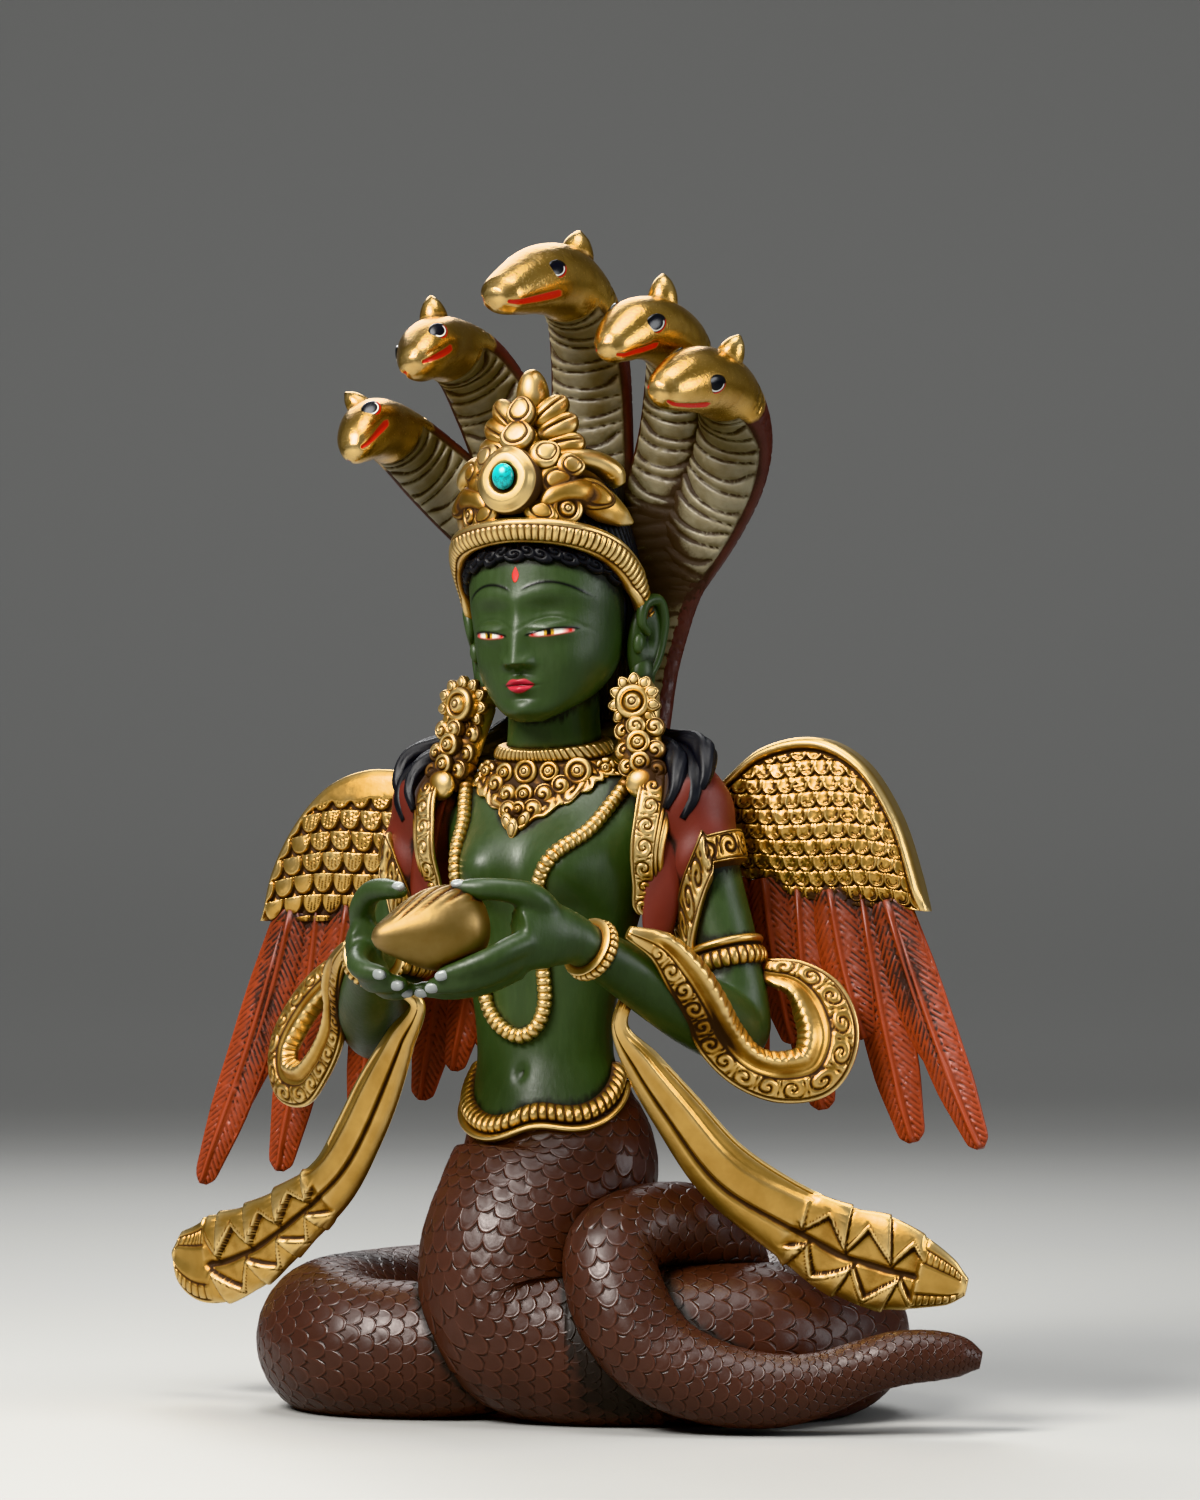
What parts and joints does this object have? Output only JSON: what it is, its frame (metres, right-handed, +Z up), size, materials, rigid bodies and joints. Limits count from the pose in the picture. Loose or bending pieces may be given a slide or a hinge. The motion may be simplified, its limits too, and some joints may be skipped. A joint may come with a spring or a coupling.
{
  "type": "naga kanya figure",
  "caption": "Small painted and gilded cast-metal figure of a crowned, winged serpent maiden holding a conch, on a coiled snake body, under a fan of cobra heads.",
  "frame": {"origin": "on the flat underside, on the floor plane, below the middle of the waist", "axes": "+Z up, -Y the way the figure looks, +X towards the figure's own left"},
  "size_m": [0.1657, 0.1175, 0.2182],
  "materials": {
    "painted_cast_metal": "satin paint and antiqued gilding on cast copper alloy",
    "turquoise": "polished"
  },
  "bodies": {
    "root": {"figure": "painted_cast_metal", "turquoise": "turquoise"}
  },
  "joints": []
}
